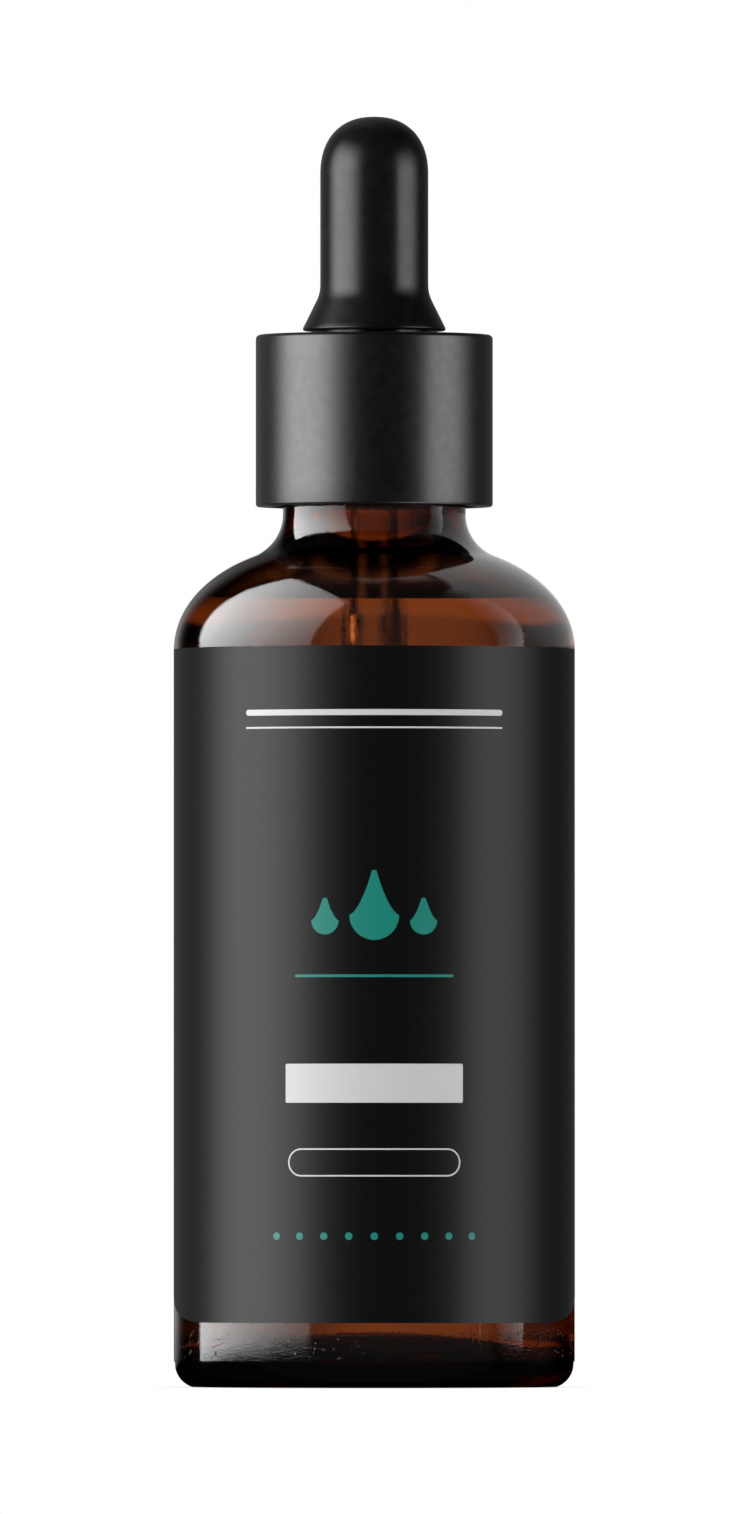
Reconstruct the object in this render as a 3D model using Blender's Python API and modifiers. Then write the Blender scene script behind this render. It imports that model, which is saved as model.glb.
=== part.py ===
"""Amber glass dropper bottle: threaded bottle, tincture, label, screw collar, rubber bulb and glass pipette.

The bottle stands on z = 0 and its axis is the Z axis. Every size below is in millimetres and is turned
into metres by MM where a shape is made. The closure is screwed down: turning the collar anticlockwise,
seen from above, lifts the collar, bulb and pipette by one thread pitch a turn.
"""

import math

import bmesh
import bpy

MM = 0.001
GAP = 0.3                # between pieces that touch on the real bottle

# Bottle body, from the base up
BODY_RADIUS = 18.6
BODY_TOP = 68.5          # where the straight wall ends and the shoulder begins
WALL = 1.86
HEEL_RADIUS = 2.32       # rounded edge between wall and base
HEEL_STEP_HEIGHT = 2.4   # mould line where the heel is drawn in a little
HEEL_STEP = 0.1
HEEL_CENTRE = 2.2        # height of the heel arc's centre
RING_INNER_RADIUS = 13.6  # inner edge of the flat ring the bottle stands on
PUNT_HEIGHT = 2.3        # how far the underside is pushed up at the middle

# Shoulder: a quarter ellipse that runs into a round fillet below the neck
SHOULDER_WIDTH = 14.36
SHOULDER_HEIGHT = 9.82
SHOULDER_SLOPE = math.radians(69.3)  # steepest lean of the wall from upright, where ellipse meets fillet
INNER_SHOULDER_WIDTH = 14.05
INNER_SHOULDER_HEIGHT = 8.6
INNER_SHOULDER_SLOPE = math.radians(74.6)

# Neck and mouth
NECK_RADIUS = 8.48
BORE_RADIUS = 5.38
MOUTH_HEIGHT = 93.05
MOUTH_ROUND = 0.6

# Inside of the base: a shallow dome with a rounded gutter round it
FLOOR_DOME_HEIGHT = 5.1
FLOOR_DOME_RADIUS = 28.0
GUTTER_RADIUS = 3.2

# Screw thread between neck and collar, right-handed
PITCH = 3.0
THREAD_TURNS = 1.5
NECK_THREAD_START = 85.4   # height of the ridge's middle where it begins
NECK_THREAD_CREST = 9.15
NECK_THREAD_WIDTHS = (1.9, 1.0)    # at the root and at the crest
COLLAR_THREAD_CREST = 8.8
COLLAR_THREAD_WIDTHS = (1.7, 0.8)
THREAD_BITE = 0.25         # how deep a ridge is sunk in the wall that carries it
THREAD_RUNOUT = math.radians(40)   # turn over which a ridge fades in and out

# Collar
COLLAR_RADIUS = 11.0
COLLAR_BOTTOM = 81.67
COLLAR_TOP = 97.63
COLLAR_BORE = 9.5
COLLAR_ROOF = 2.0          # thickness of the top that holds the bulb down
COLLAR_HOLE = 5.5
COLLAR_TOP_ROUND = 0.4
COLLAR_BOTTOM_ROUND = 0.25

# Rubber bulb
BULB_RADIUS = 5.015
BULB_TOP = 117.9
BULB_WALL = 1.25
CROWN_HEIGHT = 5.4         # the rounded top
CROWN_POWER = 2.29         # 2 makes the crown an ellipse, more makes it squarer
SKIRT_TOP = 101.5          # where the bulb and the skirt would meet in a corner
SKIRT_FILLET = 3.5         # rounds that corner
SKIRT_RADIUS = 6.63
SKIRT_BOTTOM = 98.0
SKIRT_LIP = 0.2
GROOVE_RADIUS = 5.2        # waist that sits in the collar's hole
FLANGE_RADIUS = 7.8        # seals on the bottle's mouth
FLANGE_BOTTOM = 93.35
SOCKET_RADIUS = 2.55       # takes the pipette
SOCKET_TOP = 99.6
CAVITY_BOTTOM = 101.2

# Pipette
PIPETTE_RADIUS = 2.25
PIPETTE_BORE = 1.8
PIPETTE_TOP = 99.3
PIPETTE_TIP = 9.0
TIP_RADIUS = 1.05
TIP_BORE = 0.45
TAPER_HEIGHT = 13.0        # length of the drawn-out end

# Tincture
LIQUID_LEVEL = 72.4

# Label: a thin film round the front, its lower corners swept up in long curves
LABEL_BOTTOM = 6.0
LABEL_TOP = 68.45
LABEL_GAP = 0.06
LABEL_THICKNESS = 0.1
LABEL_HALF_WRAP = math.radians(100)
LABEL_SWEEP_START = math.radians(58)
LABEL_SWEEP_HEIGHT = 7.5
LABEL_TOP_ROUND = 1.5

# Facets
BODY_STEPS = 48
SMALL_STEPS = 36
TUBE_STEPS = 24
LABEL_MIDDLE_COLUMNS = 20
LABEL_CORNER_COLUMNS = 8
LABEL_ROWS = 6

# name: colour, roughness, transmission
FINISHES = {
    "bottle": ((0.20, 0.05, 0.012), 0.05, 0.9),
    "tincture": ((0.45, 0.16, 0.04), 0.05, 0.9),
    "label": ((0.012, 0.012, 0.013), 0.55, 0.0),
    "collar": ((0.014, 0.014, 0.015), 0.32, 0.0),
    "bulb": ((0.012, 0.012, 0.012), 0.5, 0.0),
    "pipette": ((0.85, 0.87, 0.86), 0.03, 0.95),
}


# ---------------------------------------------------------------- scene helpers

def clear_scene():
    for item in list(bpy.data.objects):
        bpy.data.objects.remove(item, do_unlink=True)


def new_collection(name):
    collection = bpy.data.collections.new(name)
    bpy.context.scene.collection.children.link(collection)
    return collection


def material(name):
    colour, roughness, transmission = FINISHES[name]
    made = bpy.data.materials.new(name)
    made.use_nodes = True
    shader = made.node_tree.nodes["Principled BSDF"]
    shader.inputs["Base Color"].default_value = (*colour, 1.0)
    shader.inputs["Roughness"].default_value = roughness
    shader.inputs["Metallic"].default_value = 0.0
    shader.inputs["Transmission Weight"].default_value = transmission
    return made


def add_object(name, mesh, collection):
    item = bpy.data.objects.new(name, mesh)
    collection.objects.link(item)
    return item


def finish(item, smooth_angle=35):
    item.data.materials.append(material(item.name))
    item.data.shade_smooth()
    item.data.set_sharp_from_angle(angle=math.radians(smooth_angle))


def make_guide(item):
    item.hide_render = True
    item.display_type = "WIRE"


# ---------------------------------------------------------------- profiles
# A profile is a list of (radius, height) points that runs down the outer side, top to bottom.

def arc(centre, radius, start, end, steps):
    """Points on a circle, angles in degrees from the +radius direction towards +height."""
    points = []
    for i in range(steps + 1):
        angle = math.radians(start + (end - start) * i / steps)
        points.append((centre[0] + radius * math.cos(angle), centre[1] + radius * math.sin(angle)))
    return points


def shoulder(neck_radius, body_radius, width, height, slope, ellipse_steps, fillet_steps):
    """From the neck down to the straight wall: fillet arc, then the quarter ellipse."""
    centre = body_radius - width
    end = math.atan(math.tan(slope) * height / width)
    meet = (centre + width * math.cos(end), BODY_TOP + height * math.sin(end))
    fillet = (meet[0] - neck_radius) / (1 - math.cos(slope))
    middle = (neck_radius + fillet, meet[1] + fillet * math.sin(slope))
    points = arc(middle, fillet, 180, 180 + math.degrees(slope), fillet_steps)
    for i in range(1, ellipse_steps + 1):
        angle = end * (1 - i / ellipse_steps)
        points.append((centre + width * math.cos(angle), BODY_TOP + height * math.sin(angle)))
    return points


def outer_bottle_profile():
    heel_radius_at_wall = BODY_RADIUS - HEEL_STEP
    heel_centre = (heel_radius_at_wall - HEEL_RADIUS, HEEL_CENTRE)
    heel_end = math.degrees(math.asin(HEEL_CENTRE / HEEL_RADIUS))
    profile = arc((NECK_RADIUS - MOUTH_ROUND, MOUTH_HEIGHT - MOUTH_ROUND), MOUTH_ROUND, 90, 0, 2)
    profile += shoulder(NECK_RADIUS, BODY_RADIUS, SHOULDER_WIDTH, SHOULDER_HEIGHT, SHOULDER_SLOPE, 7, 5)
    profile.append((BODY_RADIUS, HEEL_STEP_HEIGHT))
    profile.append((heel_radius_at_wall, HEEL_STEP_HEIGHT - HEEL_STEP))
    profile += arc(heel_centre, HEEL_RADIUS, 0, -heel_end, 4)
    return profile


def underside_profile():
    """The pushed-up underside, from the standing ring to the axis."""
    dome = (RING_INNER_RADIUS ** 2 + PUNT_HEIGHT ** 2) / (2 * PUNT_HEIGHT)
    rim = math.degrees(math.acos(RING_INNER_RADIUS / dome))
    points = arc((0, PUNT_HEIGHT - dome), dome, rim, 90, 3)
    points[-1] = (0, PUNT_HEIGHT)
    return points


def inner_floor_profile(inset=0.0):
    """Inside of the base from the axis out to the wall; inset moves it into the bottle."""
    dome = FLOOR_DOME_RADIUS + inset
    gutter = GUTTER_RADIUS - inset
    gutter_r = BODY_RADIUS - WALL - GUTTER_RADIUS
    dome_centre = FLOOR_DOME_HEIGHT - FLOOR_DOME_RADIUS
    reach = FLOOR_DOME_RADIUS + GUTTER_RADIUS
    gutter_z = dome_centre + math.sqrt(reach ** 2 - gutter_r ** 2)
    meet = math.degrees(math.acos(gutter_r / reach))
    points = arc((0, dome_centre), dome, 90, meet, 3)
    points[0] = (0, FLOOR_DOME_HEIGHT + inset)
    points += arc((gutter_r, gutter_z), gutter, 180 + meet, 360, 4)[1:]
    return points


def inner_wall_profile(inset=0.0):
    """Inside of the bottle, from the mouth's bore down to the top of the straight wall."""
    width, height = INNER_SHOULDER_WIDTH - inset, INNER_SHOULDER_HEIGHT - inset
    return shoulder(BORE_RADIUS - inset, BODY_RADIUS - WALL - inset, width, height, INNER_SHOULDER_SLOPE, 6, 4)


def bottle_profile():
    inside = inner_floor_profile() + inner_wall_profile()[::-1]
    mouth = arc((BORE_RADIUS + MOUTH_ROUND, MOUTH_HEIGHT - MOUTH_ROUND), MOUTH_ROUND, 180, 90, 2)
    return inside + mouth + outer_bottle_profile() + underside_profile()


def tincture_profile():
    hole = PIPETTE_RADIUS + GAP
    wall = [p for p in inner_wall_profile(GAP) if p[1] < LIQUID_LEVEL]
    rim = radius_at(inner_wall_profile(GAP), LIQUID_LEVEL)
    tip = PIPETTE_TIP - GAP
    taper = PIPETTE_TIP + TAPER_HEIGHT
    surface = [(0, tip), (TIP_RADIUS + GAP, tip), (hole, taper), (hole, LIQUID_LEVEL), (rim, LIQUID_LEVEL)]
    return surface + wall + inner_floor_profile(GAP)[::-1]


def radius_at(profile, height):
    """Radius of a falling profile at a height, between its points."""
    for upper, lower in zip(profile, profile[1:]):
        if upper[1] >= height >= lower[1]:
            share = (upper[1] - height) / (upper[1] - lower[1])
            return upper[0] + (lower[0] - upper[0]) * share
    raise ValueError("height is off the profile")


def collar_profile():
    top = arc((COLLAR_RADIUS - COLLAR_TOP_ROUND, COLLAR_TOP - COLLAR_TOP_ROUND), COLLAR_TOP_ROUND, 90, 0, 3)
    bottom = arc((COLLAR_RADIUS - COLLAR_BOTTOM_ROUND, COLLAR_BOTTOM + COLLAR_BOTTOM_ROUND),
                 COLLAR_BOTTOM_ROUND, 0, -90, 2)
    roof = COLLAR_TOP - COLLAR_ROOF
    bore = [(COLLAR_BORE, COLLAR_BOTTOM), (COLLAR_BORE, roof), (COLLAR_HOLE, roof), (COLLAR_HOLE, COLLAR_TOP)]
    return top + bottom + bore


def bulb_crown(steps):
    """The rounded top, from the axis out to the side."""
    points = [(0, BULB_TOP)]
    for i in range(1, steps + 1):
        angle = math.pi / 2 * (1 - i / steps)
        out, up = max(0.0, math.cos(angle)), max(0.0, math.sin(angle))
        points.append((BULB_RADIUS * out ** (2 / CROWN_POWER),
                       BULB_TOP - CROWN_HEIGHT * (1 - up ** (2 / CROWN_POWER))))
    return points


def skirt_bend(steps):
    """The hollow bend where the bulb's side runs out into its skirt."""
    lean = math.atan((SKIRT_RADIUS - BULB_RADIUS) / (SKIRT_TOP - SKIRT_BOTTOM - SKIRT_LIP))
    centre = (BULB_RADIUS + SKIRT_FILLET, SKIRT_TOP + SKIRT_FILLET * math.tan(lean / 2))
    return arc(centre, SKIRT_FILLET, 180, 180 + math.degrees(lean), steps)


def bulb_profile():
    lip = (SKIRT_RADIUS - SKIRT_LIP, SKIRT_BOTTOM + SKIRT_LIP)
    flange_top = COLLAR_TOP - COLLAR_ROOF - GAP
    outside = bulb_crown(8) + skirt_bend(3) + arc(lip, SKIRT_LIP, 20, -90, 2)
    outside += [(GROOVE_RADIUS, SKIRT_BOTTOM), (GROOVE_RADIUS, flange_top), (FLANGE_RADIUS, flange_top)]
    outside += [(FLANGE_RADIUS, FLANGE_BOTTOM), (SOCKET_RADIUS, FLANGE_BOTTOM), (SOCKET_RADIUS, SOCKET_TOP)]
    cavity = BULB_RADIUS - BULB_WALL
    dome = arc((0, BULB_TOP - BULB_WALL - cavity), cavity, 0, 90, 4)
    dome[-1] = (0, BULB_TOP - BULB_WALL)
    return outside + [(cavity, CAVITY_BOTTOM)] + dome


def pipette_profile():
    taper = PIPETTE_TIP + TAPER_HEIGHT
    return [(PIPETTE_RADIUS, PIPETTE_TOP), (PIPETTE_RADIUS, taper), (TIP_RADIUS, PIPETTE_TIP),
            (TIP_BORE, PIPETTE_TIP), (PIPETTE_BORE, taper), (PIPETTE_BORE, PIPETTE_TOP)]


# ---------------------------------------------------------------- solids

def turned(name, profile, steps, collection, closed=False):
    """Turn a profile round Z with a Screw modifier. A closed profile makes a ring."""
    mesh = bpy.data.meshes.new(name)
    edges = [(i, i + 1) for i in range(len(profile) - 1)]
    if closed:
        edges.append((len(profile) - 1, 0))
    mesh.from_pydata([(r * MM, 0.0, z * MM) for r, z in profile], edges, [])
    item = add_object(name, mesh, collection)
    screw = item.modifiers.new("turn", "SCREW")
    screw.axis = "Z"
    screw.steps = steps
    screw.render_steps = steps
    screw.use_merge_vertices = True
    screw.merge_threshold = 0.000001
    screw.use_smooth_shade = True
    return item


def helix_ridge(name, root, crest, widths, start_height, collection):
    """A screw ridge that stands on a wall of radius root, fading in and out along its turn."""
    inner = root + THREAD_BITE * (1 if crest < root else -1)
    half_root, half_crest = widths[0] / 2, widths[1] / 2
    steps = int(SMALL_STEPS * THREAD_TURNS)
    mesh = bpy.data.meshes.new(name)
    builder = bmesh.new()
    rings = []
    for i in range(steps + 1):
        angle = math.tau * THREAD_TURNS * i / steps
        fade = min(1.0, angle / THREAD_RUNOUT, (math.tau * THREAD_TURNS - angle) / THREAD_RUNOUT)
        tip = root + (crest - root) * fade
        centre = start_height + PITCH * angle / math.tau
        section = [(inner, -half_root), (tip, -half_crest), (tip, half_crest), (inner, half_root)]
        rings.append([
            builder.verts.new((r * math.cos(angle) * MM, r * math.sin(angle) * MM, (centre + z) * MM))
            for r, z in section
        ])
    for lower, upper in zip(rings, rings[1:]):
        for a in range(4):
            b = (a + 1) % 4
            builder.faces.new((lower[a], lower[b], upper[b], upper[a]))
    builder.faces.new(rings[0])
    builder.faces.new(rings[-1][::-1])
    bmesh.ops.recalc_face_normals(builder, faces=builder.faces)
    builder.to_mesh(mesh)
    builder.free()
    item = add_object(name, mesh, collection)
    make_guide(item)
    return item


def join_solid(item, other):
    union = item.modifiers.new("join " + other.name, "BOOLEAN")
    union.operation = "UNION"
    union.solver = "EXACT"
    union.object = other


def label_columns():
    """Angles of the label's columns of points: even across the middle, closer in the swept corners."""
    reach = LABEL_HALF_WRAP - LABEL_SWEEP_START
    right = [LABEL_SWEEP_START + reach * math.sin(math.pi / 2 * i / LABEL_CORNER_COLUMNS)
             for i in range(1, LABEL_CORNER_COLUMNS + 1)]
    middle = [LABEL_SWEEP_START * (2 * i / LABEL_MIDDLE_COLUMNS - 1) for i in range(LABEL_MIDDLE_COLUMNS + 1)]
    return [-a for a in right[::-1]] + middle + right


def label_edges(angle):
    """Lowest and highest height of the label at an angle from its middle."""
    sweep = max(0.0, (abs(angle) - LABEL_SWEEP_START) / (LABEL_HALF_WRAP - LABEL_SWEEP_START))
    low = LABEL_BOTTOM + LABEL_SWEEP_HEIGHT * (1 - math.sqrt(max(0.0, 1 - sweep ** 2)))
    span = LABEL_TOP_ROUND / (BODY_RADIUS + LABEL_GAP)
    turn = max(0.0, (abs(angle) - (LABEL_HALF_WRAP - span)) / span)
    high = LABEL_TOP - LABEL_TOP_ROUND * (1 - math.sqrt(max(0.0, 1 - turn ** 2)))
    return low, high


def build_label(collection):
    columns = label_columns()
    builder = bmesh.new()
    bmesh.ops.create_grid(builder, x_segments=len(columns) - 1, y_segments=LABEL_ROWS, size=0.5)
    radius = (BODY_RADIUS + LABEL_GAP) * MM
    for vert in builder.verts:
        angle = columns[round((vert.co.x + 0.5) * (len(columns) - 1))]
        low, high = label_edges(angle)
        height = low + (high - low) * (vert.co.y + 0.5)
        vert.co = (radius * math.sin(angle), -radius * math.cos(angle), height * MM)
    mesh = bpy.data.meshes.new("label")
    builder.to_mesh(mesh)
    builder.free()
    item = add_object("label", mesh, collection)
    shell = item.modifiers.new("film", "SOLIDIFY")
    shell.thickness = LABEL_THICKNESS * MM
    shell.offset = 1.0
    return item


def build():
    clear_scene()
    pieces = new_collection("dropper bottle")
    guides = new_collection("guides")

    bottle = turned("bottle", bottle_profile(), BODY_STEPS, pieces)
    join_solid(bottle, helix_ridge("neck thread", NECK_RADIUS, NECK_THREAD_CREST, NECK_THREAD_WIDTHS,
                                   NECK_THREAD_START, guides))
    tincture = turned("tincture", tincture_profile(), BODY_STEPS, pieces)
    label = build_label(pieces)

    collar = turned("collar", collar_profile(), BODY_STEPS, pieces, closed=True)
    join_solid(collar, helix_ridge("collar thread", COLLAR_BORE, COLLAR_THREAD_CREST, COLLAR_THREAD_WIDTHS,
                                   NECK_THREAD_START - PITCH / 2, guides))
    bulb = turned("bulb", bulb_profile(), SMALL_STEPS, pieces)
    pipette = turned("pipette", pipette_profile(), TUBE_STEPS, pieces, closed=True)

    for item in (bottle, tincture, label, collar, bulb, pipette):
        finish(item)


build()
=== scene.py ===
"""Amber glass dropper bottle in a plain white studio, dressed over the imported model.

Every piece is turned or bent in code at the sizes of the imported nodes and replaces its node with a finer
mesh. Sizes are in millimetres and become metres where a mesh is made. The bottle's axis is Z and its
label faces -Y, towards the camera. All light comes from the world: polished surfaces mirror one studio,
satin ones a softer one, and what shines through the glass is a pale table with a wall behind it.
"""

import math

import bpy
import numpy as np
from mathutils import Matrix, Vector


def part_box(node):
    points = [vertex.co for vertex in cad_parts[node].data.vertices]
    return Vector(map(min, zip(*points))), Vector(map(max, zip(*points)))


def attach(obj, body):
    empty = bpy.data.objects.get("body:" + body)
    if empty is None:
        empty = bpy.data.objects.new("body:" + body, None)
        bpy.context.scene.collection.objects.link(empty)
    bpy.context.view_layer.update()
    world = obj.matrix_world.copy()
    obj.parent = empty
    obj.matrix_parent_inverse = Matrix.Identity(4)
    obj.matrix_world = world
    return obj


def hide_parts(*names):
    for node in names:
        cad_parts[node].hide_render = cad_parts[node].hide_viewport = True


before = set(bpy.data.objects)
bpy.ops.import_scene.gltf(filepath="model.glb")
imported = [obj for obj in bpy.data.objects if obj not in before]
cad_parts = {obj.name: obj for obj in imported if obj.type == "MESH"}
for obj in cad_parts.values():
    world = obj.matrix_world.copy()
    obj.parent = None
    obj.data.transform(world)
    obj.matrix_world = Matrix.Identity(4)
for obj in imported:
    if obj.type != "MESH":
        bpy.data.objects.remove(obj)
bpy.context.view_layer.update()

MM = 0.001


def size_of(node):
    """Radius across x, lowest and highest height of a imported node, in millimetres."""
    low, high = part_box(node)
    return high[0] / MM, low[2] / MM, high[2] / MM


# ---------------------------------------------------------------- sizes
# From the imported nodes
BODY_RADIUS, _, MOUTH_HEIGHT = size_of("bottle")
COLLAR_RADIUS, COLLAR_BOTTOM, COLLAR_TOP = size_of("collar")
_, FLANGE_BOTTOM, BULB_TOP = size_of("bulb")
PIPETTE_RADIUS, PIPETTE_TIP, PIPETTE_TOP = size_of("pipette")
_, _, LIQUID_LEVEL = size_of("tincture")
_, LABEL_BOTTOM, LABEL_TOP = size_of("label")

# Bottle
BODY_TOP = 68.5
WALL = 1.86
HEEL_RADIUS = 2.32
HEEL_STEP_HEIGHT = 2.4
HEEL_STEP = 0.1
HEEL_CENTRE = 2.2
HEEL_START = -10                   # degrees; the heel's arc begins just below the level of its centre
RING_INNER_RADIUS = 13.6
PUNT_HEIGHT = 2.3
SHOULDER_WIDTH = 14.36
SHOULDER_HEIGHT = 9.82
SHOULDER_SLOPE = math.radians(69.3)
INNER_SHOULDER_WIDTH = 14.05
INNER_SHOULDER_HEIGHT = 8.6
INNER_SHOULDER_SLOPE = math.radians(74.6)
NECK_RADIUS = 8.48
BORE_RADIUS = 5.38
MOUTH_ROUND = 0.6
FLOOR_DOME_HEIGHT = 5.1
FLOOR_DOME_RADIUS = 28.0
GUTTER_RADIUS = 3.2
SEAM_ANGLE = math.radians(31.4)    # where the mould's two halves met

# Screw thread
PITCH = 3.0
THREAD_TURNS = 1.5
THREAD_RUNOUT = math.radians(40)
THREAD_START = 85.4
NECK_THREAD_DEPTH = 0.7
NECK_THREAD_WIDTHS = (1.9, 1.0)    # at the foot and at the crest
COLLAR_THREAD_DEPTH = 0.7
COLLAR_THREAD_WIDTHS = (1.7, 0.8)
THREAD_ROW = 0.12                  # spacing of the rows of points that carry the ridge
WALL_ROW = 4.0                     # spacing of the rows on the bottle's straight wall

# Collar and bulb
COLLAR_BORE = 9.5
COLLAR_ROOF = 2.0
COLLAR_HOLE = 5.5
COLLAR_TOP_ROUND = 0.4
COLLAR_BOTTOM_ROUND = 0.25
BULB_RADIUS = 5.015
BULB_WALL = 1.25
CROWN_HEIGHT = 5.4
CROWN_POWER = 2.29                 # 2 makes the crown an ellipse, more makes it squarer
SKIRT_TOP = 101.5
SKIRT_FILLET = 3.5
SKIRT_RADIUS = 6.63
SKIRT_BOTTOM = 98.0
SKIRT_LIP = 0.2
GROOVE_RADIUS = 5.2
FLANGE_RADIUS = 7.8
GAP = 0.3
SOCKET_RADIUS = 2.55
SOCKET_TOP = 99.6
CAVITY_BOTTOM = 101.2

# Pipette and tincture
PIPETTE_BORE = 1.8
TIP_RADIUS = 1.05
TIP_BORE = 0.45
TAPER_HEIGHT = 13.0
TAPER_BLEND = 1.0                  # keeps the shading of the taper out of the straight tube
COLUMN_LEVEL = 12.0                # the bulb holds air in the pipette, so little liquid stands in its bore
CONTACT = 0.03                     # how far the liquid reaches into the glass that it wets

# Label
LABEL_PROUD = 0.015
LABEL_SUNK = 0.03                  # the back of the film sits in the glass, as if glued with no air between
LABEL_HALF_WRAP = math.radians(100)
LABEL_SWEEP_START = math.radians(58)
LABEL_SWEEP_HEIGHT = 7.5
LABEL_TOP_ROUND = 1.5
LABEL_MIDDLE_COLUMNS = 128
LABEL_END_COLUMNS = 48
LABEL_ROWS = 16
INK_THICKNESS = 0.012
TIP_MERGE = 0.001                  # points closer than this, at the ends of a mark, are one

# Steps round a turned piece
SEGMENTS = 216
TUBE_SEGMENTS = 96

# Light indices of refraction
GLASS_IOR = 1.5
LIQUID_IOR = 1.36

# ---------------------------------------------------------------- profiles
# A profile is a list of (radius, height) points that runs down the outer side, top to bottom.


def arc(centre, radius, start, end, steps):
    """Points on a circle, angles in degrees from the +radius direction towards +height."""
    angles = np.radians(np.linspace(start, end, steps + 1))
    return [(centre[0] + radius * math.cos(a), centre[1] + radius * math.sin(a)) for a in angles]


def line(start, end, spacing):
    """Points from start to end, both included, no further apart than spacing."""
    count = max(1, math.ceil(math.dist(start, end) / spacing))
    return [tuple(p) for p in np.linspace(start, end, count + 1)]


def shoulder(neck_radius, body_radius, width, height, slope, steps=64):
    """From the neck down to the straight wall: fillet arc, then the quarter ellipse."""
    centre = body_radius - width
    end = math.atan(math.tan(slope) * height / width)
    meet = (centre + width * math.cos(end), BODY_TOP + height * math.sin(end))
    fillet = (meet[0] - neck_radius) / (1 - math.cos(slope))
    middle = (neck_radius + fillet, meet[1] + fillet * math.sin(slope))
    points = arc(middle, fillet, 180, 180 + math.degrees(slope), steps // 2)
    for angle in np.linspace(end, 0, steps + 1)[1:]:
        points.append((centre + width * math.cos(angle), BODY_TOP + height * math.sin(angle)))
    return points


def inner_floor(inset=0.0):
    """Inside of the base from the axis out to the wall; inset moves it into the bottle."""
    gutter_radius = BODY_RADIUS - WALL - GUTTER_RADIUS
    dome_centre = FLOOR_DOME_HEIGHT - FLOOR_DOME_RADIUS
    reach = FLOOR_DOME_RADIUS + GUTTER_RADIUS
    gutter_height = dome_centre + math.sqrt(reach ** 2 - gutter_radius ** 2)
    meet = math.degrees(math.acos(gutter_radius / reach))
    points = arc((0, dome_centre), FLOOR_DOME_RADIUS + inset, 90, meet, 24)
    points[0] = (0, FLOOR_DOME_HEIGHT + inset)
    return points + arc((gutter_radius, gutter_height), GUTTER_RADIUS - inset, 180 + meet, 360, 32)[1:]


def inner_wall(inset=0.0):
    """Inside of the bottle, from the mouth's bore down to the top of the straight wall."""
    width, height = INNER_SHOULDER_WIDTH - inset, INNER_SHOULDER_HEIGHT - inset
    return shoulder(BORE_RADIUS - inset, BODY_RADIUS - WALL - inset, width, height, INNER_SHOULDER_SLOPE)


def underside():
    """The pushed-up underside, from the standing ring to the axis."""
    dome = (RING_INNER_RADIUS ** 2 + PUNT_HEIGHT ** 2) / (2 * PUNT_HEIGHT)
    rim = math.degrees(math.acos(RING_INNER_RADIUS / dome))
    points = arc((0, PUNT_HEIGHT - dome), dome, rim, 90, 24)
    points[-1] = (0, PUNT_HEIGHT)
    return points


def bottle_outside():
    """Neck, shoulder, wall, the small step above the heel, and the heel."""
    lip = (NECK_RADIUS - MOUTH_ROUND, MOUTH_HEIGHT - MOUTH_ROUND)
    wall_radius = BODY_RADIUS - HEEL_STEP
    half_step = HEEL_STEP / 2
    heel_end = math.degrees(math.asin(HEEL_CENTRE / HEEL_RADIUS))
    sides = shoulder(NECK_RADIUS, BODY_RADIUS, SHOULDER_WIDTH, SHOULDER_HEIGHT, SHOULDER_SLOPE)
    profile = arc(lip, MOUTH_ROUND, 90, 0, 10)
    profile += line(profile[-1], sides[0], THREAD_ROW)[1:-1] + sides
    profile += line(sides[-1], (BODY_RADIUS, HEEL_STEP_HEIGHT + half_step), WALL_ROW)[1:]
    profile += arc((BODY_RADIUS - half_step, HEEL_STEP_HEIGHT), half_step, 0, -90, 3)[1:]
    profile.append((wall_radius, HEEL_STEP_HEIGHT - half_step))
    return profile + arc((wall_radius - HEEL_RADIUS, HEEL_CENTRE), HEEL_RADIUS, HEEL_START, -heel_end, 22)


def bottle_profile():
    """From the axis on the inside floor, up the inside, over the mouth and down to the axis underneath."""
    wall = inner_wall()
    floor = inner_floor()
    inside = floor + line(floor[-1], wall[-1], WALL_ROW)[1:-1] + wall[::-1]
    mouth = arc((BORE_RADIUS + MOUTH_ROUND, MOUTH_HEIGHT - MOUTH_ROUND), MOUTH_ROUND, 180, 90, 10)
    return inside + mouth + bottle_outside()[1:] + underside()


def pipette_outside(grow=0.0):
    """Outer side of the pipette, top to tip."""
    taper = PIPETTE_TIP + TAPER_HEIGHT
    radius = PIPETTE_RADIUS + grow
    tip = (TIP_RADIUS + grow, PIPETTE_TIP - grow)
    return [(radius, PIPETTE_TOP), (radius, taper + TAPER_BLEND), (radius, taper), tip]


def pipette_inside(grow=0.0):
    """Bore of the pipette, tip to top."""
    taper = PIPETTE_TIP + TAPER_HEIGHT
    radius = PIPETTE_BORE + grow
    tip = (TIP_BORE + grow, PIPETTE_TIP - grow)
    return [tip, (radius, taper), (radius, taper + TAPER_BLEND), (radius, PIPETTE_TOP)]


def clipped(profile, height):
    """The part of a profile at or below a height, with a point where it crosses."""
    kept = []
    for start, end in zip(profile, profile[1:]):
        if (start[1] - height) * (end[1] - height) < 0:
            share = (height - start[1]) / (end[1] - start[1])
            kept.append((start[0] + (end[0] - start[0]) * share, height))
        if end[1] <= height:
            kept.append(end)
    return kept


def tincture_profile():
    """The liquid's whole boundary: bore of the pipette, round its tip, then the surface and the bottle."""
    column = clipped(pipette_inside(CONTACT)[::-1], COLUMN_LEVEL)
    around = clipped(pipette_outside(-CONTACT), LIQUID_LEVEL)[::-1]
    wall = clipped(inner_wall(-CONTACT), LIQUID_LEVEL)
    floor = inner_floor(-CONTACT)[::-1]
    side = line(wall[-1], floor[0], WALL_ROW)[1:-1]
    return [(0, COLUMN_LEVEL)] + column + around + wall + side + floor


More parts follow.
